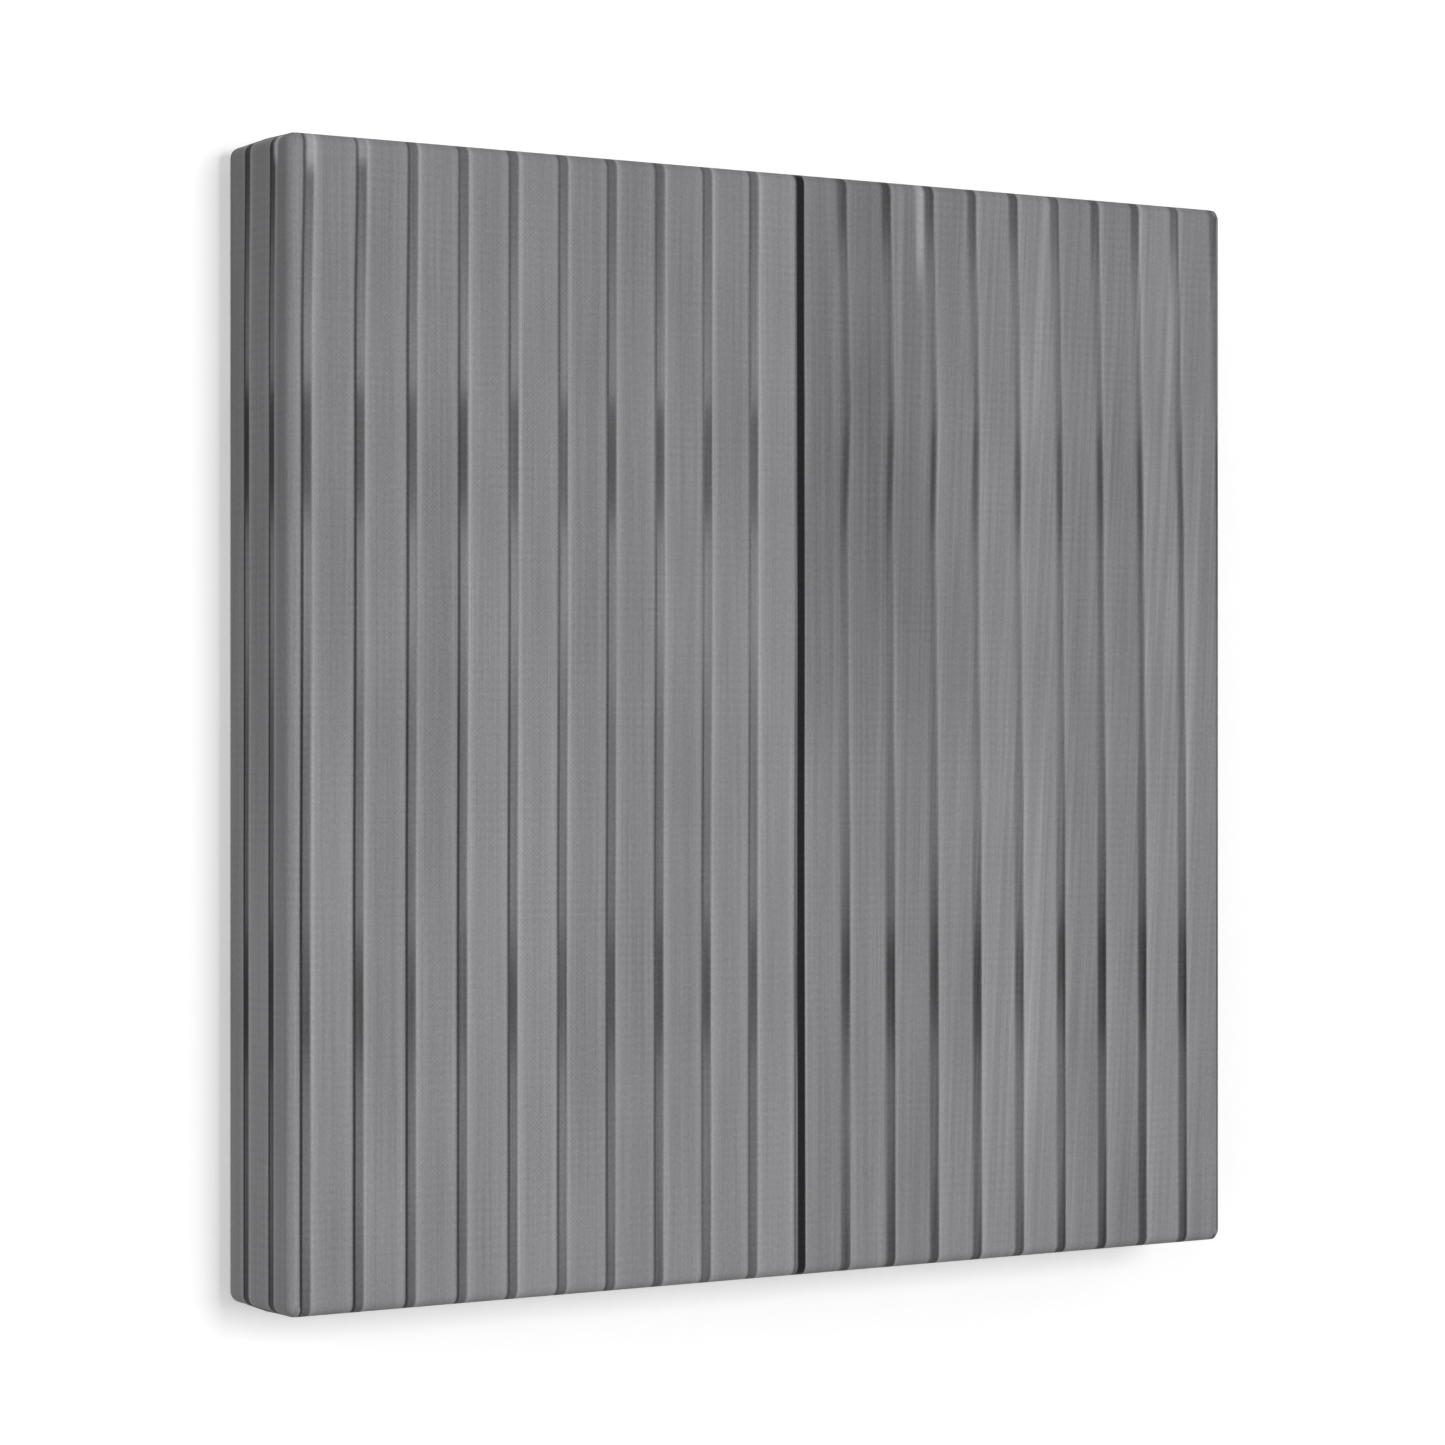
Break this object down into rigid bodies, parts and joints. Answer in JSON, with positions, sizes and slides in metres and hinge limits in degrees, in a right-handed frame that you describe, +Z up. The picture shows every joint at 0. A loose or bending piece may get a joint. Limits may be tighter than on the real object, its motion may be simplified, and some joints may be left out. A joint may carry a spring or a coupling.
{
  "type": "stretched canvas",
  "caption": "Square gallery-wrapped canvas on a keyed wooden stretcher frame, stapled at the back, with sliding corner keys, sawtooth hanger and bumpers, to hang or to stand on an easel.",
  "frame": {"origin": "middle of the bottom edge's outer face, on the centre of the width and of the cloth-wrapped depth", "axes": "+Z up when hung, -Y out of the picture side, +X to the right as seen from the picture side"},
  "size_m": [0.254, 0.0353, 0.254],
  "materials": {
    "canvas_cloth": "cotton canvas with a matt grey slat stripe printed on the front and sides, bare white on the inside and the hem",
    "bar_wood": "planed raw pine",
    "key_wood": "sawn raw beech",
    "staple_steel": "zinc plated flat wire",
    "hanger_steel": "zinc plated stamped sheet",
    "bumper_rubber": "soft matt dark grey rubber"
  },
  "bodies": {
    "frame": {"canvas": "canvas_cloth", "top_bar": "bar_wood", "right_bar": "bar_wood", "bottom_bar": "bar_wood", "left_bar": "bar_wood", "top_staple_1": "staple_steel", "top_staple_2": "staple_steel", "top_staple_3": "staple_steel", "top_staple_4": "staple_steel", "top_staple_5": "staple_steel", "top_staple_6": "staple_steel", "right_staple_1": "staple_steel", "right_staple_2": "staple_steel", "right_staple_3": "staple_steel", "right_staple_4": "staple_steel", "right_staple_5": "staple_steel", "right_staple_6": "staple_steel", "bottom_staple_1": "staple_steel", "bottom_staple_2": "staple_steel", "bottom_staple_3": "staple_steel", "bottom_staple_4": "staple_steel", "bottom_staple_5": "staple_steel", "bottom_staple_6": "staple_steel", "left_staple_1": "staple_steel", "left_staple_2": "staple_steel", "left_staple_3": "staple_steel", "left_staple_4": "staple_steel", "left_staple_5": "staple_steel", "left_staple_6": "staple_steel", "sawtooth_hanger": "hanger_steel", "hanger_nail_left": "hanger_steel", "hanger_nail_right": "hanger_steel", "bumper_left": "bumper_rubber", "bumper_right": "bumper_rubber"},
    "top_left_across": {"top_left_key_across": "key_wood"},
    "top_left_upright": {"top_left_key_upright": "key_wood"},
    "top_right_across": {"top_right_key_across": "key_wood"},
    "top_right_upright": {"top_right_key_upright": "key_wood"},
    "bottom_left_across": {"bottom_left_key_across": "key_wood"},
    "bottom_left_upright": {"bottom_left_key_upright": "key_wood"},
    "bottom_right_across": {"bottom_right_key_across": "key_wood"},
    "bottom_right_upright": {"bottom_right_key_upright": "key_wood"}
  },
  "joints": [
    {"name": "top_left_across_slide", "type": "slide", "parent": "frame", "child": "top_left_across", "axis": [1, 0, 0], "range_m": [0, 0.018]},
    {"name": "top_left_upright_slide", "type": "slide", "parent": "frame", "child": "top_left_upright", "axis": [0, 0, -1], "range_m": [0, 0.018]},
    {"name": "top_right_across_slide", "type": "slide", "parent": "frame", "child": "top_right_across", "axis": [-1, 0, 0], "range_m": [0, 0.018]},
    {"name": "top_right_upright_slide", "type": "slide", "parent": "frame", "child": "top_right_upright", "axis": [0, 0, -1], "range_m": [0, 0.018]},
    {"name": "bottom_left_across_slide", "type": "slide", "parent": "frame", "child": "bottom_left_across", "axis": [1, 0, 0], "range_m": [0, 0.018]},
    {"name": "bottom_left_upright_slide", "type": "slide", "parent": "frame", "child": "bottom_left_upright", "axis": [0, 0, 1], "range_m": [0, 0.018]},
    {"name": "bottom_right_across_slide", "type": "slide", "parent": "frame", "child": "bottom_right_across", "axis": [-1, 0, 0], "range_m": [0, 0.018]},
    {"name": "bottom_right_upright_slide", "type": "slide", "parent": "frame", "child": "bottom_right_upright", "axis": [0, 0, 1], "range_m": [0, 0.018]}
  ]
}
